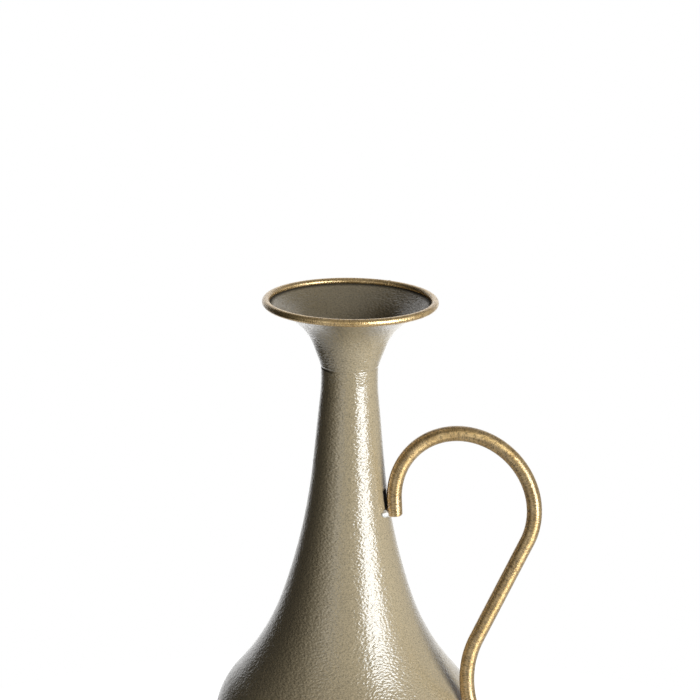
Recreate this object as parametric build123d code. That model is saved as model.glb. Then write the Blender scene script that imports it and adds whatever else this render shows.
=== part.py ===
from build123d import *
from math import acos, asin, atan2, cos, degrees, radians, sin, sqrt, tan
from typing import NamedTuple
import os

# Urn vase: a bottle of spun sheet steel with a trumpet mouth, a wire ring round the lip and a bent rod for a handle.
# It stands on Z = 0, its axis is Z, and the handle lies in the plane Y = 0 on the side of +X.
# Slopes are degrees from vertical, and a skin with a positive slope widens downward.

# Stock
sheet = 1.0
wire_diameter = 4.0
rod_diameter = 8.0
felt_thickness = 2.0

# Joints between the pieces
seam_turn = 180
braze_gap = 0.1
lap_length = 7.0
joggle_length = 2.0
seam_crown = 0.12
weld_gap = 0.1

# Mouth: a cone off the throat, a bend and a straight brim that points at the middle of the wire
rim_radius = 44.1
mouth_slope = 20.3
mouth_cone = 12.35
mouth_bend = 30.0
brim_slope = 60.0
lip_braze = 1.2
lip_braze_turn = 62
lip_braze_gap = 0.03
hollow_flats = 4
wire_butt_gap = 0.9
butt_bulge = 0.18
butt_turn = 82.6

# Neck: a straight collar under the throat, a soft bend and a long taper
throat_radius = 15.0
collar_length = 9.2
collar_bend = 60.0
neck_taper = 5.5
neck_length = 38.5

# Body: a hollow flank, a tight shoulder and a bowl that draws in to the foot
flank_height = 119.8
flank_break_share = 0.477
flank_slope = 41.4
shoulder_bend = 39.0
belly_radius = 70.9
belly_height = 134.5
foot_radius = 46.0
foot_lift = 1.0
foot_land = 14.0

# Base pan, let in from below, and the felt glued under it
pan_flange = 8.0
pan_bend = 3.0
pan_fillet = 1.6
pan_weld_slope = -60
felt_margin = 2.0

# Handle
loop_radius = 38.5
loop_drop_share = 0.3435
tip_gap = 0.12
tip_slope = 3.5
tip_length = 8.6
reverse_bend = 55.0
foot_turn = 20.6
foot_sweep = 11.0
tip_chamfer = 0.4
tip_weld_radius = 2.3
foot_weld_radius = 2.4

wire_radius = wire_diameter / 2
rod_radius = rod_diameter / 2
joggle_depth = sheet + braze_gap


class Station(NamedTuple):
    """A point on the outside of a shell, and the slope of the skin there."""

    radius: float
    height: float
    slope: float


def along(station, length):
    """Follow a straight skin downward by a length, or upward by a negative one."""
    turn = radians(station.slope)
    return Station(station.radius + length * sin(turn), station.height - length * cos(turn), station.slope)


def around(station, bend, slope):
    """Follow a bend of the skin downward from a station until it has a new slope."""
    before, after = radians(station.slope), radians(slope)
    side = 1 if slope > station.slope else -1
    radius = station.radius + side * bend * (cos(before) - cos(after))
    height = station.height - side * bend * (sin(after) - sin(before))
    return Station(radius, height, slope)


def below(station, depth):
    """The station that lies a depth under the skin, measured square to it."""
    turn = radians(station.slope)
    return Station(station.radius - depth * cos(turn), station.height - depth * sin(turn), station.slope)


def point(station):
    return Vector(station.radius, 0, station.height)


def skin(*runs):
    """A line between two stations of one slope, an arc between two slopes, and a straight joggle between runs."""
    edges = []
    for run in runs:
        for upper, lower in zip(run, run[1:]):
            turn = radians(upper.slope)
            if upper.slope == lower.slope:
                edges.append(Line(point(upper), point(lower)))
            else:
                edges.append(TangentArc(point(upper), point(lower), tangent=(sin(turn), 0, -cos(turn))))
    for run, next_run in zip(runs, runs[1:]):
        edges.append(Line(point(run[-1]), point(next_run[0])))
    return edges


def turned(sides):
    """A closed outline turned round the axis, with the surface's own seam on the side away from the handle."""
    return Rot(0, 0, seam_turn) * revolve(make_face(sides), axis=Axis.Z)


def spun(*runs):
    """A shell of sheet metal turned round the axis, with its outside through the stations of each run."""
    inside = [[below(station, sheet) for station in run] for run in runs]
    first_end = Line(point(runs[0][0]), point(inside[0][0]))
    last_end = Line(point(runs[-1][-1]), point(inside[-1][-1]))
    return turned(skin(*runs) + skin(*inside) + [first_end, last_end])


def core(run):
    """The whole space inside a skin, as one solid that cuts filler to the outside of the shell."""
    top, bottom = Vector(0, 0, run[0].height), Vector(0, 0, run[-1].height)
    sides = [Line(point(run[0]), top), Line(top, bottom), Line(bottom, point(run[-1]))]
    return turned(skin(run) + sides)


def lap(station, direction):
    """The spigot beyond a joggle, which sets the sheet in by its own wall and enters the next piece."""
    start = below(along(station, direction * joggle_length), joggle_depth)
    return [start, along(start, direction * lap_length)]


def seam_bead(skin_end, root):
    """The ring of filler in the groove between a joggle and the square edge of the piece over it."""
    edge = below(root, -joggle_depth)
    middle = (point(skin_end) + point(edge)) / 2
    outward = (point(edge) - point(root)).normalized()
    sides = [
        Line(point(skin_end), point(root)),
        Line(point(root), point(edge)),
        ThreePointArc(point(edge), middle + outward * seam_crown, point(skin_end)),
    ]
    return turned(sides)


def ring(radius, height, section_radius, arc=360):
    """A round section carried round the axis, from +X on."""
    section = Plane.XZ * Pos(radius, height) * Circle(section_radius)
    return revolve(section, axis=Axis.Z, revolution_arc=arc)


# Stations of the outside, from the widest ring of the body upward
belly = Station(belly_radius, belly_height, 0)
shoulder_top = Station(
    belly_radius - shoulder_bend * (1 - cos(radians(flank_slope))),
    belly_height + shoulder_bend * sin(radians(flank_slope)),
    flank_slope,
)
neck_foot = Station(
    throat_radius + collar_bend * (1 - cos(radians(neck_taper))) + neck_length * tan(radians(neck_taper)),
    shoulder_top.height + flank_height,
    neck_taper,
)
taper_top = along(neck_foot, -neck_length / cos(radians(neck_taper)))
collar_foot = Station(throat_radius, taper_top.height + collar_bend * sin(radians(neck_taper)), 0)
throat = along(collar_foot, -collar_length)

# The flank is two arcs that meet with one tangent, the upper one wide and the lower one tighter
flank_chord = degrees(atan2(shoulder_top.radius - neck_foot.radius, flank_height))
break_low = max(neck_taper, 2 * flank_chord - flank_slope)
break_high = min(flank_slope, 2 * flank_chord - neck_taper)
break_slope = break_low + flank_break_share * (break_high - break_low)
upper_out = cos(radians(neck_taper)) - cos(radians(break_slope))
upper_down = sin(radians(break_slope)) - sin(radians(neck_taper))
lower_out = cos(radians(break_slope)) - cos(radians(flank_slope))
lower_down = sin(radians(flank_slope)) - sin(radians(break_slope))
flank_out = shoulder_top.radius - neck_foot.radius
determinant = upper_out * lower_down - lower_out * upper_down
upper_flank_bend = (flank_out * lower_down - flank_height * lower_out) / determinant
flank_break = around(neck_foot, upper_flank_bend, break_slope)

# Mouth, from the throat up
mouth_foot = Station(throat_radius, throat.height, -mouth_slope)
mouth_end = along(mouth_foot, -joggle_length)
cone_top = along(mouth_foot, -mouth_cone)
brim_foot = Station(
    cone_top.radius + mouth_bend * (cos(radians(mouth_slope)) - cos(radians(brim_slope))),
    cone_top.height + mouth_bend * (sin(radians(brim_slope)) - sin(radians(mouth_slope))),
    -brim_slope,
)
brim_length = (rim_radius - below(brim_foot, sheet / 2).radius) / sin(radians(brim_slope))
brim_end = along(brim_foot, -brim_length)
rim_height = below(brim_end, sheet / 2).height

# Bowl, from the belly seam down: a straight band for the lap, one arc, and a straight cone at the foot
bowl_edge = along(belly, joggle_length)
band_foot = along(bowl_edge, lap_length + joggle_length)
bowl_in = belly_radius - foot_radius
bowl_down = band_foot.height - foot_lift
bowl_tangent = (bowl_in**2 + bowl_down**2 - foot_land**2) / (2 * (bowl_down + foot_land))
bowl_slope = -degrees(atan2(bowl_in, bowl_down - bowl_tangent))
foot_edge = Station(foot_radius, foot_lift, bowl_slope)
land_top = along(foot_edge, -foot_land)

# Shells
collar_wall = below(throat, joggle_depth)
mouth_lap = [collar_wall, along(collar_wall, lap_length)]
wire_seat = ring(rim_radius, rim_height, wire_radius + braze_gap)
mouth_flare = spun([brim_end, brim_foot, cone_top, mouth_end], mouth_lap) - wire_seat

neck_edge = along(neck_foot, -joggle_length)
neck_cone = spun([throat, collar_foot, taper_top, neck_edge])

shoulder_lap = lap(neck_foot, -1)
belly_lap = lap(belly, 1)
shoulder_skin = [neck_foot, flank_break, shoulder_top, belly]
shoulder_bell = spun(shoulder_lap[::-1], shoulder_skin, belly_lap)

urn_bowl = spun([bowl_edge, band_foot, land_top, foot_edge])

# Base pan: its flange lies along the foot's cone, and its floor is one felt above the table
flange_line = below(foot_edge, joggle_depth)
floor_height = felt_thickness
bend_drop = pan_bend * (1 + sin(radians(bowl_slope)))
flange_foot = along(flange_line, -(floor_height + bend_drop - flange_line.height) / cos(radians(bowl_slope)))
floor_edge = around(flange_foot, pan_bend, -90)
floor_centre = Station(0, floor_edge.height, -90)
base_pan = spun([along(flange_foot, -pan_flange), flange_foot, floor_edge, floor_centre])

# Filler in the joints of the body
throat_bead = seam_bead(mouth_end, collar_wall)
neck_bead = seam_bead(neck_foot, shoulder_lap[0])
belly_bead = seam_bead(belly, belly_lap[0])
groove_top = below(flange_foot, -braze_gap)
groove_wall = along(groove_top, pan_fillet)
groove_pan = around(flange_foot, pan_bend, pan_weld_slope)
weld_sides = [
    Line(point(groove_top), point(groove_wall)),
    Line(point(groove_wall), point(groove_pan)),
    Line(point(flange_foot), point(groove_top)),
]
pan_weld = turned(skin([flange_foot, groove_pan]) + weld_sides)

felt_radius = floor_edge.radius - felt_margin
felt_disc = Pos(0, 0, felt_thickness / 2) * Cylinder(felt_radius, felt_thickness)

# Filler under the wire: a fillet between the wire and the underside of the brim
wire_centre = Vector(rim_radius, 0, rim_height)


def round_wire(radius, turn):
    """A point of the brim's plane at a radius from the wire's middle, turned outward from the brim's line."""
    slope = radians(brim_slope - turn)
    return wire_centre - Vector(sin(slope), 0, cos(slope)) * radius


seat_radius = wire_radius + braze_gap
wetted_radius = wire_radius + lip_braze_gap
lip_turn = degrees(asin(sheet / 2 / seat_radius))
braze_foot = along(brim_end, seat_radius * cos(radians(lip_turn)) + lip_braze)

# Its hollow side against the wire is drawn as short flats, so that a mesh of it keeps the volume
flat_turn = (lip_braze_turn - lip_turn) / hollow_flats
hollow = [round_wire(wetted_radius, lip_turn + step * flat_turn) for step in range(hollow_flats + 1)]
braze_corners = [round_wire(seat_radius, lip_turn), *hollow, point(braze_foot)]
rim_braze = turned([Line(start, end) for start, end in zip(braze_corners, braze_corners[1:] + braze_corners[:1])])

# Wire round the lip: one ring with its two ends brought together at the back and joined.
# The joint's bulge stays out of the room that the brim and its fillet take beside the wire.
butt_arc = degrees(wire_butt_gap / rim_radius)
rim_wire = Rot(0, 0, butt_turn + butt_arc / 2) * ring(rim_radius, rim_height, wire_radius, 360 - butt_arc)
butt_place = Rot(0, 0, butt_turn) * Pos(rim_radius, 0, rim_height)
room_start, room_end = -2 * lip_turn, lip_braze_turn + lip_turn
room_inner, room_outer = wire_radius + lip_braze_gap / 3, 2 * wire_radius
room_turns = [room_start, (room_start + room_end) / 2, room_end]
room_sides = [
    ThreePointArc(*(round_wire(room_inner, turn) for turn in room_turns)),
    Line(round_wire(room_inner, room_end), round_wire(room_outer, room_end)),
    ThreePointArc(*(round_wire(room_outer, turn) for turn in room_turns)),
    Line(round_wire(room_outer, room_start), round_wire(room_inner, room_start)),
]
lip_room = turned(room_sides)
rim_butt_weld = butt_place * Sphere(wire_radius + butt_bulge) - lip_room - rim_wire

# Handle: its tip rests on the neck, it loops over, and its foot lies along the shoulder
loop_height = throat.height - loop_drop_share * (throat.height - belly_height)
flank_centre = point(below(neck_foot, -upper_flank_bend))
shoulder_centre = Vector(belly_radius - shoulder_bend, 0, belly_height)
lie_radius = shoulder_bend + weld_gap + rod_radius


def toward(turn):
    """The direction in the handle's plane at an angle above +X."""
    return Vector(cos(radians(turn)), 0, sin(radians(turn)))


# The corner of the straight tip is what comes nearest to the flank, and it sets the loop's place
tip_line = toward(tip_slope - 90) * tip_length
tip_corner = toward(180 + tip_slope) * (loop_radius + rod_radius) + tip_line
corner_reach = upper_flank_bend - tip_gap
corner_drop = loop_height + tip_corner.Z - flank_centre.Z
loop_centre_radius = flank_centre.X - tip_corner.X - sqrt(corner_reach**2 - corner_drop**2)
loop_centre = Vector(loop_centre_radius, 0, loop_height)
reverse_centre = shoulder_centre + toward(foot_turn) * (lie_radius + reverse_bend)
span = reverse_centre - loop_centre
shank_turn = degrees(atan2(span.Z, span.X) + acos((loop_radius + reverse_bend) / span.length))
loop_start = loop_centre + toward(180 + tip_slope) * loop_radius
tip = loop_start + tip_line
shank_top = loop_centre + toward(shank_turn) * loop_radius
shank_foot = reverse_centre - toward(shank_turn) * reverse_bend
foot_start = shoulder_centre + toward(foot_turn) * lie_radius
foot_end = shoulder_centre + toward(foot_turn - foot_sweep) * lie_radius
tip_end = Line(tip, loop_start)
loop = ThreePointArc(loop_start, loop_centre + toward(90) * loop_radius, shank_top)
shank = Line(shank_top, shank_foot)
reverse_middle = toward(180 + (shank_turn + foot_turn) / 2)
reverse = ThreePointArc(shank_foot, reverse_centre + reverse_middle * reverse_bend, foot_start)
foot_middle = shoulder_centre + toward(foot_turn - foot_sweep / 2) * lie_radius
foot = ThreePointArc(foot_start, foot_middle, foot_end)
handle_path = Wire([tip_end.edge(), loop.edge(), shank.edge(), reverse.edge(), foot.edge()])
rod_section = Plane(origin=tip, z_dir=handle_path % 0) * Circle(rod_radius)
handle_rod = sweep(rod_section, path=handle_path)
rod_ends = handle_rod.faces().filter_by(GeomType.PLANE).edges()
handle_rod = chamfer(rod_ends, tip_chamfer)

tip_weld_place = loop_centre + tip_corner
body_core = core([neck_edge] + shoulder_skin)
handle_tip_weld = Pos(*tip_weld_place) * Rot(0, 0, seam_turn / 2) * Sphere(tip_weld_radius)
handle_tip_weld = handle_tip_weld - body_core - handle_rod
weld_line_radius = shoulder_bend + weld_gap / 2
weld_start = shoulder_centre + toward(foot_turn) * weld_line_radius
weld_middle = shoulder_centre + toward(foot_turn - foot_sweep / 2) * weld_line_radius
weld_end = shoulder_centre + toward(foot_turn - foot_sweep) * weld_line_radius
weld_line = ThreePointArc(weld_start, weld_middle, weld_end)
weld_section = Plane(origin=weld_start, z_dir=weld_line % 0) * Circle(foot_weld_radius)
weld_ends = [Pos(*weld_start) * Sphere(foot_weld_radius), Pos(*weld_end) * Sphere(foot_weld_radius)]
weld_run = sweep(weld_section, path=weld_line) + weld_ends
handle_foot_weld = weld_run - handle_rod - body_core

nodes = {
    "rim_wire": rim_wire,
    "rim_butt_weld": rim_butt_weld,
    "rim_braze": rim_braze,
    "mouth_flare": mouth_flare,
    "throat_bead": throat_bead,
    "neck_cone": neck_cone,
    "neck_bead": neck_bead,
    "shoulder_bell": shoulder_bell,
    "belly_bead": belly_bead,
    "urn_bowl": urn_bowl,
    "base_pan": base_pan,
    "pan_weld": pan_weld,
    "felt_disc": felt_disc,
    "handle_rod": handle_rod,
    "handle_tip_weld": handle_tip_weld,
    "handle_foot_weld": handle_foot_weld,
}

os.makedirs("parts", exist_ok=True)
for name, solid in nodes.items():
    solid.label = name
    export_step(solid, f"parts/{name}.step")
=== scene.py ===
"""Urn vase of spun sheet steel in a greige powder coat, with an antique gold wire rim and bar handle."""

import math

import bpy
import numpy as np
from mathutils import Euler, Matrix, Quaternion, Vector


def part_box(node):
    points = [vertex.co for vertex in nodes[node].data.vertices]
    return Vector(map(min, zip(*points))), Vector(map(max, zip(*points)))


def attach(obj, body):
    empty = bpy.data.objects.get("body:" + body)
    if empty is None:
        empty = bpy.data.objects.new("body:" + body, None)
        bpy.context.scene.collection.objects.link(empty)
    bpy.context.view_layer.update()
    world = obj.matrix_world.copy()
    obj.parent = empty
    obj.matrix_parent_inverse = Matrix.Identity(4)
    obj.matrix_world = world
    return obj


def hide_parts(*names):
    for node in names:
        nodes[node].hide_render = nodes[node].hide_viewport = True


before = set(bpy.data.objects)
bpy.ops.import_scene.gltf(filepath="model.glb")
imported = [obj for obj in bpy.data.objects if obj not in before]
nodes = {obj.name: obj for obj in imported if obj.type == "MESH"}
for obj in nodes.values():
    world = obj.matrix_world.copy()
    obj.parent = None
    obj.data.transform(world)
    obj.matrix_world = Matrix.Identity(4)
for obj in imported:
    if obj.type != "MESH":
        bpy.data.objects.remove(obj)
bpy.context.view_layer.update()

# Shells: mouth, neck, shoulder and bowl.
# Spun from 1 mm sheet steel, lapped and brazed ring to ring, ground flush and powder coated as one body,
# inside and out. The coat is glossy and has flowed into a fine orange peel.
MM = 0.001


def linear(hex_colour):
    """An sRGB hex colour as linear red, green, blue and alpha: each channel to the power 2.4 past its toe."""
    channels = [int(hex_colour[i:i + 2], 16) / 255 for i in (0, 2, 4)]
    return [c / 12.92 if c <= 0.04045 else ((c + 0.055) / 1.055) ** 2.4 for c in channels] + [1.0]


def add(tree, kind, inputs=None, **settings):
    """Adds one node. Settings are its own properties; inputs are sockets by name or number, set or linked."""
    made = tree.nodes.new(kind)
    for name, value in settings.items():
        setattr(made, name, value)
    for key, value in (inputs or {}).items():
        if isinstance(value, bpy.types.NodeSocket):
            tree.links.new(value, made.inputs[key])
        else:
            made.inputs[key].default_value = value
    return made


def new_material(name, attribute=None):
    """An empty material, its node tree, and what its patterns read: Object coordinates, or the attribute."""
    material = bpy.data.materials.new(name)
    material.use_nodes = True
    tree = material.node_tree
    tree.nodes.clear()
    if attribute:
        return material, tree, add(tree, "ShaderNodeAttribute", attribute_name=attribute).outputs["Vector"]
    return material, tree, add(tree, "ShaderNodeTexCoord").outputs["Object"]


def dress(name, material):
    """A node of the frame keeps its own shape and shows in this material."""
    piece = nodes[name]
    piece.data.materials.clear()
    piece.data.materials.append(material)


wire_low, wire_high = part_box("rim_wire")
wire_radius = (wire_high[2] - wire_low[2]) / 2
rim_height = wire_low[2] + wire_radius
rim_radius = wire_high[0] - wire_radius
throat_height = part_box("neck_cone")[1][2]
throat_radius = 15 * MM
seam_heights = [sum(corner[2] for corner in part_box(bead)) / 2 for bead in ("neck_bead", "belly_bead")]
brim_slope = math.radians(60)
groove_drop = 0.7 * MM
tip_height = 262.4 * MM
view_turn = 20.6  # where the camera stands, in degrees from -Y towards +X

# Painted shade: each shaded place is painted fully dark up to the first distance, and plain from the second on. The
# groove's shade starts at the first left distance to the left of the axis, and is at its full from the second on.
wire_shade_full, wire_shade_end = 2.6 * MM, 4.4 * MM
groove_shade_full, groove_shade_end = 0.2 * MM, 0.75 * MM
strip_shade_full, strip_shade_end = 2.0 * MM, 2.8 * MM
tip_shade_full, tip_shade_end = 4.8 * MM, 5.8 * MM
left_shade_start, left_shade_full = 7 * MM, 11 * MM

peel_size = 1.5 * MM
peel_rise = 1.7
peel_depth = 0.26 * MM
grit_size = 0.8 * MM
grit_depth = 0.03 * MM
swell_size = 7 * MM
swell_depth = 0.15 * MM
draw_length = 9 * MM
draw_depth = 0.8 * MM
seam_reach = 1.3 * MM
seam_sink = 0.1 * MM
speck_size = 0.7 * MM
cloud_size = 30 * MM
coat_colour = "C1AE89"
coat_shade = "B6A27F"
coat_speck = "7F7359"
# painted shade: the grey that darkens the inside of the mouth
inside_shade_grey = "4A4236"
# painted shade: the near-black colour of the three shaded places
painted_shade_colour = "14110E"

# Powder coat is a cured polyester film: smooth and glossy, with a lens-like peel that breaks up reflections.
powder_coat, tree, place = new_material("powder_coat_greige")
clouds = add(tree, "ShaderNodeTexNoise", {"Vector": place, "Scale": 1 / cloud_size, "Detail": 3.0})
body_tone = add(
    tree, "ShaderNodeMix",
    {"Factor": clouds.outputs["Fac"], 6: linear(coat_colour), 7: linear(coat_shade)},
    data_type="RGBA",
)
specks = add(tree, "ShaderNodeTexNoise", {"Vector": place, "Scale": 1 / speck_size, "Detail": 2.0})
speck_share = add(
    tree, "ShaderNodeMapRange",
    {"Value": specks.outputs["Fac"], "From Min": 0.45, "From Max": 0.72, "To Min": 0.0, "To Max": 0.8},
)
speckled = add(
    tree, "ShaderNodeMix",
    {"Factor": speck_share.outputs["Result"], 6: body_tone.outputs[2], 7: linear(coat_speck)},
    data_type="RGBA",
)

# Painted shade in three places, a near-black colour under a duller, weaker coat: the corner under the wire inside the
# mouth, the shaded left part of the groove under the throat's bead, and the strip of neck behind the handle's tip.
axes = add(tree, "ShaderNodeSeparateXYZ", {0: place}).outputs
level_place = add(tree, "ShaderNodeVectorMath", {0: place, 1: (1.0, 1.0, 0.0)}, operation="MULTIPLY").outputs[0]
radius = add(tree, "ShaderNodeVectorMath", {0: level_place}, operation="LENGTH").outputs["Value"]
profile = add(tree, "ShaderNodeCombineXYZ", {"X": radius, "Z": axes["Z"]}).outputs[0]
from_wire = add(
    tree, "ShaderNodeVectorMath", {0: profile, 1: (rim_radius, 0.0, rim_height)}, operation="SUBTRACT",
).outputs[0]
wire_distance = add(tree, "ShaderNodeVectorMath", {0: from_wire}, operation="LENGTH").outputs["Value"]
brim_normal = (-math.cos(brim_slope), 0.0, math.sin(brim_slope))
over_brim = add(tree, "ShaderNodeVectorMath", {0: from_wire, 1: brim_normal}, operation="DOT_PRODUCT")
inside_share = add(
    tree, "ShaderNodeMapRange",
    {"Value": over_brim.outputs["Value"], "From Min": 0.0, "From Max": 0.2 * MM, "To Min": 0.0, "To Max": 1.0},
)
near_wire = add(
    tree, "ShaderNodeMapRange",
    {"Value": wire_distance, "From Min": wire_shade_full, "From Max": wire_shade_end, "To Min": 0.9, "To Max": 0.0},
)
wire_corner = add(
    tree, "ShaderNodeMath", {0: near_wire.outputs["Result"], 1: inside_share.outputs["Result"]}, operation="MULTIPLY",
)
from_groove = add(
    tree, "ShaderNodeVectorMath",
    {0: profile, 1: (throat_radius, 0.0, throat_height - groove_drop)}, operation="DISTANCE",
).outputs["Value"]
near_groove = add(
    tree, "ShaderNodeMapRange",
    {"Value": from_groove, "From Min": groove_shade_full, "From Max": groove_shade_end, "To Min": 0.9, "To Max": 0.0},
)
left_side = (-math.cos(math.radians(view_turn)), -math.sin(math.radians(view_turn)), 0.0)
leftward = add(tree, "ShaderNodeVectorMath", {0: place, 1: left_side}, operation="DOT_PRODUCT").outputs["Value"]
left_share = add(
    tree, "ShaderNodeMapRange",
    {"Value": leftward, "From Min": left_shade_start, "From Max": left_shade_full, "To Min": 0.12, "To Max": 1.0},
)
groove = add(
    tree, "ShaderNodeMath", {0: near_groove.outputs["Result"], 1: left_share.outputs["Result"]}, operation="MULTIPLY",
)
off_plane = add(tree, "ShaderNodeMath", {0: axes["Y"]}, operation="ABSOLUTE").outputs[0]
near_plane = add(
    tree, "ShaderNodeMapRange",
    {"Value": off_plane, "From Min": strip_shade_full, "From Max": strip_shade_end, "To Min": 1.0, "To Max": 0.0},
)
from_tip = add(tree, "ShaderNodeMath", {0: axes["Z"], 1: -tip_height}, operation="ADD").outputs[0]
tip_span = add(tree, "ShaderNodeMath", {0: from_tip}, operation="ABSOLUTE").outputs[0]
near_tip = add(
    tree, "ShaderNodeMapRange",
    {"Value": tip_span, "From Min": tip_shade_full, "From Max": tip_shade_end, "To Min": 1.0, "To Max": 0.0},
)
handle_side = add(
    tree, "ShaderNodeMapRange",
    {"Value": axes["X"], "From Min": 0.0, "From Max": 1 * MM, "To Min": 0.0, "To Max": 1.0},
)
shaded_strip = add(
    tree, "ShaderNodeMath", {0: near_plane.outputs["Result"], 1: near_tip.outputs["Result"]}, operation="MULTIPLY",
)
behind_bar = add(
    tree, "ShaderNodeMath", {0: shaded_strip.outputs[0], 1: handle_side.outputs["Result"]}, operation="MULTIPLY",
)
corners_share = add(tree, "ShaderNodeMath", {0: wire_corner.outputs[0], 1: groove.outputs[0]}, operation="MAXIMUM")
painted_shade_share = add(tree, "ShaderNodeMath", {0: corners_share.outputs[0], 1: behind_bar.outputs[0]}, operation="MAXIMUM")

# Inside, painted shade greys the colour, more so deep in the throat, and the coat's gloss is weaker.
facing = add(tree, "ShaderNodeNewGeometry").outputs["True Normal"]
outside = add(tree, "ShaderNodeVectorMath", {0: facing, 1: level_place}, operation="DOT_PRODUCT").outputs["Value"]
inside = add(tree, "ShaderNodeMath", {0: outside, 1: 0.0}, operation="LESS_THAN").outputs[0]
depth_share = add(
    tree, "ShaderNodeMapRange",
    {"Value": axes["Z"], "From Min": throat_height, "From Max": rim_height, "To Min": 0.5, "To Max": 0.25},
)
inside_shade_share = add(tree, "ShaderNodeMath", {0: inside, 1: depth_share.outputs["Result"]}, operation="MULTIPLY")
inside_shaded = add(
    tree, "ShaderNodeMix",
    {"Factor": inside_shade_share.outputs[0], 6: speckled.outputs[2], 7: linear(inside_shade_grey)},
    data_type="RGBA",
)
# painted shade: the colour goes towards near black across the shaded places
coat_tone = add(
    tree, "ShaderNodeMix",
    {"Factor": painted_shade_share.outputs[0], 6: inside_shaded.outputs[2], 7: linear(painted_shade_colour)},
    data_type="RGBA",
)
thin_coat = add(tree, "ShaderNodeMapRange", {"Value": inside, "To Min": 1.0, "To Max": 0.55}).outputs["Result"]
# where there is no painted shade, the coat keeps its full weight
coated = add(tree, "ShaderNodeMath", {0: 1.0, 1: painted_shade_share.outputs[0]}, operation="SUBTRACT").outputs[0]
coated_share = add(tree, "ShaderNodeMath", {0: coated, 1: thin_coat}, operation="MULTIPLY")
base_roughness = add(tree, "ShaderNodeMapRange", {"Value": painted_shade_share.outputs[0], "To Min": 0.35, "To Max": 1.0})

# Relief, from wide to fine: the swell of the sheet, the seams' slight sink, the collar that the spinning drew in
# just under the throat, the peel, which runs wider than high, and the grit in it.
swell = add(tree, "ShaderNodeTexNoise", {"Vector": place, "Scale": 1 / swell_size, "Detail": 1.0})
relief = add(tree, "ShaderNodeBump", {"Height": swell.outputs["Fac"], "Strength": 1.0, "Distance": swell_depth})
for seam_height in seam_heights:
    from_seam = add(tree, "ShaderNodeMath", {0: axes["Z"], 1: -seam_height}, operation="ADD").outputs[0]
    seam_span = add(tree, "ShaderNodeMath", {0: from_seam}, operation="ABSOLUTE").outputs[0]
    sink = add(
        tree, "ShaderNodeMapRange",
        {"Value": seam_span, "From Min": 0.0, "From Max": seam_reach, "To Min": 0.0, "To Max": 1.0},
        interpolation_type="SMOOTHSTEP",
    )
    relief = add(
        tree, "ShaderNodeBump",
        {"Height": sink.outputs["Result"], "Normal": relief.outputs[0], "Strength": 1.0, "Distance": seam_sink},
    )
collar_draw = add(
    tree, "ShaderNodeMapRange",
    {"Value": axes["Z"], "From Min": throat_height - draw_length, "From Max": throat_height, "To Max": 1.0},
    interpolation_type="SMOOTHSTEP",
)
relief = add(
    tree, "ShaderNodeBump",
    {"Height": collar_draw.outputs["Result"], "Normal": relief.outputs[0], "Strength": 1.0, "Distance": draw_depth},
)
flattened = add(tree, "ShaderNodeMapping", {"Vector": place, "Scale": (1.0, 1.0, peel_rise)}).outputs[0]
peel = add(
    tree, "ShaderNodeTexNoise",
    {"Vector": flattened, "Scale": 1 / peel_size, "Detail": 0.0, "Distortion": 0.3},
)
relief = add(
    tree, "ShaderNodeBump",
    {"Height": peel.outputs["Fac"], "Normal": relief.outputs[0], "Strength": 1.0, "Distance": peel_depth},
)
grit = add(tree, "ShaderNodeTexNoise", {"Vector": place, "Scale": 1 / grit_size, "Detail": 1.0})
relief = add(
    tree, "ShaderNodeBump",
    {"Height": grit.outputs["Fac"], "Normal": relief.outputs[0], "Strength": 1.0, "Distance": grit_depth},
)
coat = add(
    tree, "ShaderNodeBsdfPrincipled",
    {
        "Base Color": coat_tone.outputs[2],
        "Normal": relief.outputs[0],
        "Coat Normal": relief.outputs[0],
        "Roughness": base_roughness.outputs["Result"],
        "IOR": 1.45,
        "Coat Weight": coated_share.outputs[0],
        "Coat IOR": 1.78,
        "Coat Roughness": 0.2,
    },
)
add(tree, "ShaderNodeOutputMaterial", {"Surface": coat.outputs[0]})
for name in ("mouth_flare", "neck_cone", "shoulder_bell", "urn_bowl"):
    dress(name, powder_coat)

# Seams between the shells, and the base pan that closes the foot.
# Rings of filler, ground down and coated with the body. The pan is pressed from the same sheet.
for name in ("throat_bead", "neck_bead", "belly_bead", "base_pan", "pan_weld"):
    dress(name, powder_coat)

# Felt under the base.
# A disc of pressed black wool felt, glued to the pan.
fibre_size = 0.6 * MM
fibre_depth = 0.2 * MM
felt_black = "161514"
felt_grey = "37342F"

# Pressed felt is a mat of dyed wool: its fibres soak up the light, and only their tips catch a faint sheen.
felt, tree, place = new_material("pressed_wool_felt_black")
fibres = add(tree, "ShaderNodeTexNoise", {"Vector": place, "Scale": 1 / fibre_size, "Detail": 6.0})
fibre_tone = add(
    tree, "ShaderNodeMix",
    {"Factor": fibres.outputs["Fac"], 6: linear(felt_black), 7: linear(felt_grey)},
    data_type="RGBA",
)
fibre_bump = add(
    tree, "ShaderNodeBump", {"Height": fibres.outputs["Fac"], "Strength": 1.0, "Distance": fibre_depth},
)
wool = add(
    tree, "ShaderNodeBsdfPrincipled",
    {
        "Base Color": fibre_tone.outputs[2],
        "Normal": fibre_bump.outputs[0],
        "Roughness": 0.95,
        "Sheen Weight": 0.3,
        "Sheen Roughness": 0.5,
    },
)
add(tree, "ShaderNodeOutputMaterial", {"Surface": wool.outputs[0]})
dress("felt_disc", felt)

# Rim: one length of 4 mm steel wire, bent to a ring, butt welded at the back and brazed on the lip.
# Gold lacquer over dark oxide, rubbed back while soft, so that short strokes of gold lie across the wire.


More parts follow.
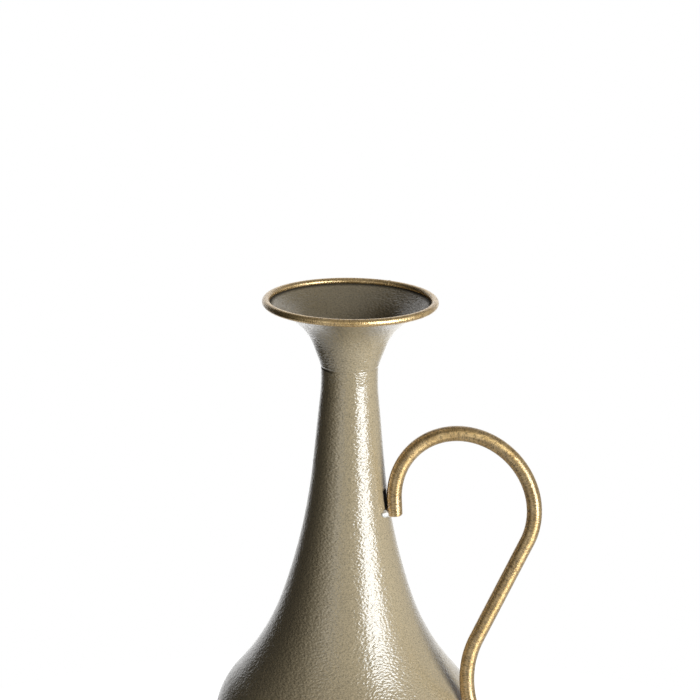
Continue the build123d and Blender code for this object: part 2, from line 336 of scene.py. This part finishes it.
def antique_gold(name, dullest, brightest, stretch=None):
    """The gold finish: warm, satin and mottled, dark where the oxide shows between the strokes, under clear lacquer.
    Its roughness runs from dullest to brightest. On bars and wire, stretch is how far the rubbing draws a reflection
    out along the metal, and the strokes follow the attribute unrolled. Elsewhere they follow Object coordinates."""
    stroke_length, stroke_width, stroke_depth = 1.5 * MM, 0.6 * MM, 0.16 * MM
    patina_size = 7 * MM
    gold_shade, gold_light, dark_oxide = "E0B976", "FAD696", "6A4E2A"
    rubbed = {}
    if stretch is None:
        material, tree, place = new_material(name)
    else:
        material, tree, place = new_material(name, "unrolled")
        along = add(tree, "ShaderNodeAttribute", attribute_name="along").outputs["Vector"]
        rubbed = {"Anisotropic": stretch, "Tangent": along}
    patina = add(
        tree, "ShaderNodeTexNoise",
        {"Vector": place, "Scale": 1 / patina_size, "Detail": 4.0, "Roughness": 0.6},
    )
    patina_share = add(
        tree, "ShaderNodeMapRange",
        {"Value": patina.outputs["Fac"], "From Min": 0.35, "From Max": 0.65, "To Min": 0.0, "To Max": 1.0},
    )
    tone = add(
        tree, "ShaderNodeMix",
        {"Factor": patina_share.outputs["Result"], 6: linear(gold_shade), 7: linear(gold_light)},
        data_type="RGBA",
    )
    strokes_place = add(
        tree, "ShaderNodeMapping",
        {"Vector": place, "Scale": (1 / stroke_width, 1 / stroke_length, 1 / stroke_length)},
    ).outputs[0]
    strokes = add(
        tree, "ShaderNodeTexNoise",
        {"Vector": strokes_place, "Scale": 1.0, "Detail": 3.0, "Roughness": 0.6, "Distortion": 0.4},
    )
    oxide_share = add(
        tree, "ShaderNodeMapRange",
        {"Value": strokes.outputs["Fac"], "From Min": 0.34, "From Max": 0.52, "To Min": 0.7, "To Max": 0.0},
    )
    stroked = add(
        tree, "ShaderNodeMix",
        {"Factor": oxide_share.outputs["Result"], 6: tone.outputs[2], 7: linear(dark_oxide)},
        data_type="RGBA",
    )
    stroke_bump = add(
        tree, "ShaderNodeBump", {"Height": strokes.outputs["Fac"], "Strength": 1.0, "Distance": stroke_depth},
    )
    shine = add(
        tree, "ShaderNodeMapRange",
        {"Value": strokes.outputs["Fac"], "From Min": 0.3, "From Max": 0.6, "To Min": dullest, "To Max": brightest},
    )
    lacquer = add(
        tree, "ShaderNodeBsdfPrincipled",
        {
            "Base Color": stroked.outputs[2],
            "Normal": stroke_bump.outputs[0],
            "Coat Normal": stroke_bump.outputs[0],
            "Metallic": 0.8,
            "Roughness": shine.outputs["Result"],
            "Coat Weight": 1.0,
            "Coat IOR": 1.68,
            "Coat Roughness": 0.16,
            **rubbed,
        },
    )
    add(tree, "ShaderNodeOutputMaterial", {"Surface": lacquer.outputs[0]})
    return material


def closed_skin(name, rings, material, vectors):
    """A closed skin over a grid of points. Each ring's last point joins its first, each ring joins the next,
    and a point at the middle of each end ring closes it. Vectors holds attributes by name, one vector for each
    grid point."""
    count, around = rings.shape[:2]
    ends = np.stack([rings[0].mean(axis=0), rings[-1].mean(axis=0)])
    points = np.vstack([rings.reshape(-1, 3), ends])
    step = np.arange(around)
    after = (step + 1) % around
    row = np.arange(count - 1)[:, None] * around
    sides = np.stack([row + step, row + after, row + around + after, row + around + step], axis=-1).reshape(-1, 4)
    first = np.stack([np.full(around, count * around), after, step], axis=-1)
    last_row = (count - 1) * around
    last = np.stack([np.full(around, count * around + 1), last_row + step, last_row + after], axis=-1)
    mesh = bpy.data.meshes.new(name)
    mesh.from_pydata(points.tolist(), [], first.tolist() + sides.tolist() + last.tolist())
    mesh.shade_smooth()
    mesh.materials.append(material)
    for label, grid in vectors.items():
        tips = np.stack([grid[0].mean(axis=0), grid[-1].mean(axis=0)])
        values = np.vstack([grid.reshape(-1, 3), tips])
        mesh.attributes.new(label, "FLOAT_VECTOR", "POINT").data.foreach_set("vector", values.ravel())
    piece = bpy.data.objects.new(name, mesh)
    bpy.context.collection.objects.link(piece)
    return piece


def tube(name, middle, ahead, side, radii, start, around, material):
    """A round tube: each point is the middle plus its radius times the cosine of the turn along side and the
    sine along the cross product of ahead and side. Radii holds one radius for each ring, or one for each of its
    points. The attribute unrolled lays the tube out as a straight bar of the same length that begins at start,
    and along points down its length."""
    turn = np.linspace(0, 2 * np.pi, around, endpoint=False)
    over = np.cross(ahead, side)
    cosine, sine = np.cos(turn)[None, :, None], np.sin(turn)[None, :, None]
    spread = radii[:, None, None] if radii.ndim == 1 else radii[:, :, None]
    rings = middle[:, None, :] + spread * (cosine * side[:, None, :] + sine * over[:, None, :])
    steps = np.linalg.norm(np.diff(middle, axis=0), axis=1)
    length = start + np.concatenate([[0], np.cumsum(steps)])
    flat = np.broadcast_to(spread, (len(middle), around, 1))
    straight = np.concatenate([np.broadcast_to(length[:, None, None], flat.shape), flat * cosine, flat * sine], axis=2)
    along = np.broadcast_to(ahead[:, None, :], rings.shape)
    return closed_skin(name, rings, material, {"unrolled": straight, "along": along})


def round_axis(turns):
    """The outward and the forward direction at each turn round the axis: its cosine, its sine and zero, and minus
    its sine, its cosine and zero."""
    cosine, sine, level = np.cos(turns), np.sin(turns), np.zeros(len(turns))
    return np.stack([cosine, sine, level], axis=-1), np.stack([-sine, cosine, level], axis=-1)


def settle(piece, replaced):
    """The piece moves with the vase and stands for this node, which it hides."""
    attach(piece, "root")
    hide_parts(replaced)


wire_count = 400
wire_around = 28
wire_start = 0.5
butt_turn = math.radians(82.6)
butt_gap = 0.9 * MM
butt_half = butt_gap / rim_radius / 2
wire_turns = np.linspace(butt_turn + butt_half, butt_turn + 2 * np.pi - butt_half, wire_count)
outward, forward = round_axis(wire_turns)
wire_middle = rim_radius * outward + np.array([0, 0, rim_height])
wire_radii = np.full(wire_count, wire_radius)
wire_gold = antique_gold("antique_gold_on_wire", dullest=0.42, brightest=0.24, stretch=0.5)
rim_wire = tube("rim_wire_gold", wire_middle, forward, outward, wire_radii, wire_start, wire_around, wire_gold)
settle(rim_wire, "rim_wire")
braze_gold = antique_gold("antique_gold_on_braze", dullest=0.55, brightest=0.33)
for name in ("rim_butt_weld", "rim_braze"):
    dress(name, braze_gold)

# Handle: an 8 mm round bar, cold bent to a loop, a straight shank and a reverse bend, with its ends sawn off.
# The same gold finish, rubbed duller, with its strokes across the bar. Its tip is welded to the neck and its foot
# to the shoulder.
rod_radius = 4 * MM
loop_radius = 38.5 * MM
reverse_bend = 55 * MM
foot_turn = math.radians(20.6)
foot_sweep = math.radians(11)
tip_slope = math.radians(3.5)
tip_length = 8.6 * MM
sawn_edge = 0.45 * MM
weld_gap = 0.1 * MM
belly_radius = 70.9 * MM
belly_height = 134.5 * MM
shoulder_bend = 39 * MM
bar_step = 0.7 * MM
bar_around = 48


def arc(centre, radius, start, end):
    """Points of an arc in the handle's plane, a bar step apart, without its last point."""
    turns = np.linspace(start, end, round(abs(end - start) * radius / bar_step), endpoint=False)
    return centre + radius * np.stack([np.cos(turns), np.sin(turns)], axis=-1)


def straight(start, end):
    """Points of a straight line in the handle's plane, a bar step apart, without its last point."""
    return np.linspace(start, end, round(math.dist(start, end) / bar_step), endpoint=False)


def toward(turn):
    """The direction at this turn in the handle's plane: its cosine and its sine."""
    return np.array([math.cos(turn), math.sin(turn)])


rod_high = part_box("handle_rod")[1]
loop_centre = np.array([rod_high[0] - loop_radius - rod_radius, rod_high[2] - loop_radius - rod_radius])
shoulder_centre = np.array([belly_radius - shoulder_bend, belly_height])
lie_radius = shoulder_bend + rod_radius + weld_gap
bend_centre = shoulder_centre + (lie_radius + reverse_bend) * toward(foot_turn)
span = bend_centre - loop_centre
shank_turn = math.atan2(span[1], span[0]) + math.acos((loop_radius + reverse_bend) / math.hypot(*span))
shank_top = loop_centre + loop_radius * toward(shank_turn)
shank_foot = bend_centre - reverse_bend * toward(shank_turn)
loop_start = loop_centre - loop_radius * toward(tip_slope)
tip_end = loop_start + tip_length * toward(tip_slope - math.pi / 2)
bar_plane = np.vstack([
    straight(tip_end, loop_start),
    arc(loop_centre, loop_radius, math.pi + tip_slope, shank_turn),
    straight(shank_top, shank_foot),
    arc(bend_centre, reverse_bend, shank_turn + math.pi, foot_turn + math.pi),
    arc(shoulder_centre, lie_radius, foot_turn, foot_turn - foot_sweep),
    [shoulder_centre + lie_radius * toward(foot_turn - foot_sweep)],
])
slopes = np.gradient(bar_plane, axis=0)
slopes /= np.linalg.norm(slopes, axis=1)[:, None]
bar_middle = np.stack([bar_plane[:, 0], np.zeros(len(bar_plane)), bar_plane[:, 1]], axis=-1)
bar_ahead = np.stack([slopes[:, 0], np.zeros(len(bar_plane)), slopes[:, 1]], axis=-1)
bar_side = np.tile([0.0, 1.0, 0.0], (len(bar_plane), 1))
bar_radii = np.full(len(bar_plane), rod_radius)
bar_radii[[0, -1]] -= sawn_edge
bar_gold = antique_gold("antique_gold_on_bar", dullest=0.75, brightest=0.45, stretch=1.0)
handle = tube("handle_bar_gold", bar_middle, bar_ahead, bar_side, bar_radii, 0.0, bar_around, bar_gold)
settle(handle, "handle_rod")

# Welds of the handle: a blob that fills the corner between the bar's tip and the neck, and a run under its foot.
# The run is coated with the body, and the blob with a pooled coat whose near-white colour is a painted highlight.
blob_radius = 22.8 * MM
blob_height = 255.3 * MM
blob_aside = math.radians(-6)
blob_reach = math.radians(12)
blob_droop = 0.4 * MM
blob_thickness = 2.0 * MM
blob_end = 0.995
blob_count = 36
blob_around = 32
pool_size = 1.5 * MM
pool_depth = 0.3 * MM
# painted highlight: the weld blob's near-white colour
pool_highlight_white = "EFEBE2"

# Where the powder melted over the weld it ran together: a thick, wavy and very glossy drop. Its near-white colour is a
# painted highlight.
pooled_highlight_coat, tree, place = new_material("powder_coat_pooled_painted_highlight")
pool_waves = add(tree, "ShaderNodeTexNoise", {"Vector": place, "Scale": 1 / pool_size, "Detail": 1.0})
pool_relief = add(
    tree, "ShaderNodeBump", {"Height": pool_waves.outputs["Fac"], "Strength": 1.0, "Distance": pool_depth},
)
pool = add(
    tree, "ShaderNodeBsdfPrincipled",
    {
        "Base Color": linear(pool_highlight_white),
        "Normal": pool_relief.outputs[0],
        "Coat Normal": pool_relief.outputs[0],
        "Roughness": 0.35,
        "Coat Weight": 1.0,
        "Coat IOR": 1.8,
        "Coat Roughness": 0.15,
    },
)
add(tree, "ShaderNodeOutputMaterial", {"Surface": pool.outputs[0]})

# The share is -1 and 1 at the blob's two ends, and its first and last ring lie just short of them. The radius is that
# of an ellipsoid, times a lean to one side and low ridges.
blob_share = np.linspace(-blob_end, blob_end, blob_count)
blob_side, blob_ahead = round_axis(blob_aside + blob_reach * blob_share)
blob_middle = blob_radius * blob_side
blob_middle[:, 2] = blob_height - blob_droop * blob_share
blob_length = blob_share[:, None]
blob_turn = np.linspace(0, 2 * np.pi, blob_around, endpoint=False)[None, :]
lean = 0.15 * np.sin(9 * blob_length + blob_turn)
ridges = 0.06 * np.sin(3 * blob_turn - 5 * blob_length)
blob_radii = blob_thickness * np.sqrt(1 - blob_length ** 2) * (1 + lean + ridges)
tip_weld = tube("handle_tip_weld_blob", blob_middle, blob_ahead, blob_side, blob_radii, 0.0, blob_around, pooled_highlight_coat)
settle(tip_weld, "handle_tip_weld")
dress("handle_foot_weld", powder_coat)

# Floor: a round white table top. The photograph's own background is pure white.
floor_radius = 0.42
floor_rings = 48
floor_spokes = 96
laminate_grey = "C4C4C2"

floor_turns = np.linspace(0, 2 * np.pi, floor_spokes, endpoint=False)
floor_radii = np.linspace(0, floor_radius, floor_rings + 1)[1:]
across = np.outer(floor_radii, np.cos(floor_turns))
deep = np.outer(floor_radii, np.sin(floor_turns))
grid = np.stack([across, deep, np.zeros((floor_rings, floor_spokes))], axis=-1)
corners = np.vstack([[[0, 0, 0]], grid.reshape(-1, 3)])
inner = 1 + np.arange(floor_rings - 1)[:, None] * floor_spokes
outer = inner + floor_spokes
spoke = np.arange(floor_spokes)[None, :]
after = (spoke + 1) % floor_spokes
quads = np.stack([inner + spoke, outer + spoke, outer + after, inner + after], axis=-1).reshape(-1, 4)
fan = np.stack([np.zeros(floor_spokes, int), 1 + spoke[0], 1 + after[0]], axis=-1)
floor_mesh = bpy.data.meshes.new("floor")
floor_mesh.from_pydata(corners.tolist(), [], fan.tolist() + quads.tolist())
floor = bpy.data.objects.new("floor", floor_mesh)
bpy.context.collection.objects.link(floor)

# White laminate is plain and matt. A glow for the camera and for reflections grows towards its edge, so that the
# table fades into the white room and still keeps the vase's shadow.
table_white, tree, place = new_material("white_laminate")
rays = add(tree, "ShaderNodeLightPath").outputs
span_out = add(tree, "ShaderNodeVectorMath", {0: place}, operation="LENGTH").outputs["Value"]
seen_glow = add(
    tree, "ShaderNodeMapRange",
    {"Value": span_out, "From Min": 0.12, "From Max": 0.32, "To Min": 0.6, "To Max": 1.0},
)
mirrored_glow = add(
    tree, "ShaderNodeMapRange",
    {"Value": span_out, "From Min": 0.1, "From Max": 0.25, "To Min": 0.12, "To Max": 0.42},
)
mirrored = add(
    tree, "ShaderNodeMath", {0: rays["Is Glossy Ray"], 1: mirrored_glow.outputs["Result"]}, operation="MULTIPLY",
)
lift = add(
    tree, "ShaderNodeMath",
    {0: rays["Is Camera Ray"], 1: seen_glow.outputs["Result"], 2: mirrored.outputs[0]}, operation="MULTIPLY_ADD",
)
glow = add(tree, "ShaderNodeEmission", {"Color": linear("FFFFFF"), "Strength": lift.outputs[0]})
matt = add(tree, "ShaderNodeBsdfDiffuse", {"Color": linear(laminate_grey)})
both = add(tree, "ShaderNodeAddShader", {0: glow.outputs[0], 1: matt.outputs[0]})
add(tree, "ShaderNodeOutputMaterial", {"Surface": both.outputs[0]})
floor_mesh.materials.append(table_white)

# Studio: one tall softbox to the right of the camera, a weak fill, and a white room behind for the camera.
# The lamps are a little cooler than the room, as the photograph's highlight is.
lamp_white = "F3F9FF"
ambient_level = 0.045


def around_vase(turn, distance, height):
    """A place round the axis, turned from the camera's side towards the photograph's right."""
    angle = math.radians(view_turn + turn)
    return (distance * math.sin(angle), -distance * math.cos(angle), height)


def lamp(name, turn, distance, bottom, top, width, radiance):
    """An upright softbox that faces the axis. Its power is pi times its radiance times its area."""
    height = top - bottom
    data = bpy.data.lights.new(name, "AREA")
    data.shape = "RECTANGLE"
    data.size = width
    data.size_y = height
    data.energy = math.pi * radiance * width * height
    data.color = linear(lamp_white)[:3]
    made = bpy.data.objects.new(name, data)
    made.location = around_vase(turn, distance, (top + bottom) / 2)
    made.rotation_euler = (math.radians(90), 0, math.radians(view_turn + turn))
    bpy.context.collection.objects.link(made)


lamp("softbox", turn=49, distance=1.4, bottom=-0.3, top=1.22, width=0.78, radiance=7.6)
lamp("fill", turn=-27, distance=1.6, bottom=-0.5, top=1.2, width=0.4, radiance=0.56)

# The room is white to the camera. Reflections see the parts that are listed in walls, and matt light bounces see a
# weak and even level.
world = bpy.data.worlds.new("room")
bpy.context.scene.world = world
world.use_nodes = True
tree = world.node_tree
tree.nodes.clear()
rays = add(tree, "ShaderNodeLightPath").outputs
direction = add(tree, "ShaderNodeTexCoord").outputs["Generated"]


def wall(turn, rise, start, end, low, high, upright=1.0):
    """The level of a part of the room: low to high as the cosine of the angle off its middle goes from start to
    end. The middle is turned from the camera's side to the right, and raised. The height of a direction is
    multiplied by upright first, so that less than 1 gives a tall and narrow part."""
    angle, climb = math.radians(view_turn + turn), math.radians(rise)
    middle = (math.cos(climb) * math.sin(angle), -math.cos(climb) * math.cos(angle), math.sin(climb))
    scaled = add(tree, "ShaderNodeVectorMath", {0: direction, 1: (1.0, 1.0, upright)}, operation="MULTIPLY")
    unit = add(tree, "ShaderNodeVectorMath", {0: scaled.outputs[0]}, operation="NORMALIZE").outputs[0]
    facing = add(tree, "ShaderNodeVectorMath", {0: unit, 1: middle}, operation="DOT_PRODUCT").outputs["Value"]
    return add(
        tree, "ShaderNodeMapRange",
        {"Value": facing, "From Min": start, "From Max": end, "To Min": low, "To Max": high},
    ).outputs["Result"]


walls = [
    wall(180, 0, start=0.7, end=0.9, low=0.02, high=1.0),  # the white background behind the vase
    wall(180, -35, start=0.83, end=0.94, low=0.0, high=1.3),  # its foot, lit from above
    wall(180, 35, start=0.84, end=0.95, low=0.0, high=0.55),  # its top
    wall(90, 0, start=0.45, end=0.75, low=0.0, high=0.35),  # the room's right side
    wall(-25, 4, start=0.74, end=0.94, low=0.0, high=0.4, upright=0.6),  # a tall reflector left of the camera
    wall(-25, 25, start=0.5, end=0.9, low=0.0, high=0.12, upright=0.6),  # the glow over and around it
    wall(0, 90, start=0.8, end=0.95, low=0.0, high=0.35),  # the ceiling
]
room = walls[0]
for other in walls[1:]:
    room = add(tree, "ShaderNodeMath", {0: room, 1: other}, operation="MAXIMUM").outputs[0]
reflected = add(tree, "ShaderNodeMath", {0: rays["Is Glossy Ray"], 1: room}, operation="MULTIPLY").outputs[0]
ambient = add(tree, "ShaderNodeMath", {0: rays["Is Diffuse Ray"], 1: ambient_level}, operation="MULTIPLY").outputs[0]
unseen = add(tree, "ShaderNodeMath", {0: reflected, 1: ambient}, operation="MAXIMUM").outputs[0]
level = add(tree, "ShaderNodeMath", {0: rays["Is Camera Ray"], 1: unseen}, operation="MAXIMUM").outputs[0]
sky = add(tree, "ShaderNodeBackground", {"Color": linear("FFFFFF"), "Strength": level})
add(tree, "ShaderNodeOutputWorld", {"Surface": sky.outputs[0]})

# Camera: a long lens from the front right, level with the mouth and looking a little down into it.
camera_distance = 1.3
aim_height = throat_height + 34.15 * MM
camera_rise = math.radians(14.299)
camera_pitch = math.radians(15.396)
camera_roll = math.radians(0.675)
camera_data = bpy.data.cameras.new("camera")
camera_data.lens = 128.37
camera_data.sensor_width = 36
camera_data.shift_x = 0.00015
camera = bpy.data.objects.new("camera", camera_data)
reach = camera_distance * math.cos(camera_rise)
camera.location = around_vase(0, reach, aim_height + camera_distance * math.sin(camera_rise))
camera.rotation_mode = "QUATERNION"
aim = Euler((math.pi / 2 - camera_pitch, 0, math.radians(view_turn))).to_quaternion()
camera.rotation_quaternion = aim @ Quaternion((0, 0, 1), camera_roll)
bpy.context.collection.objects.link(camera)
bpy.context.scene.camera = camera
bpy.context.scene.view_settings.view_transform = "Standard"
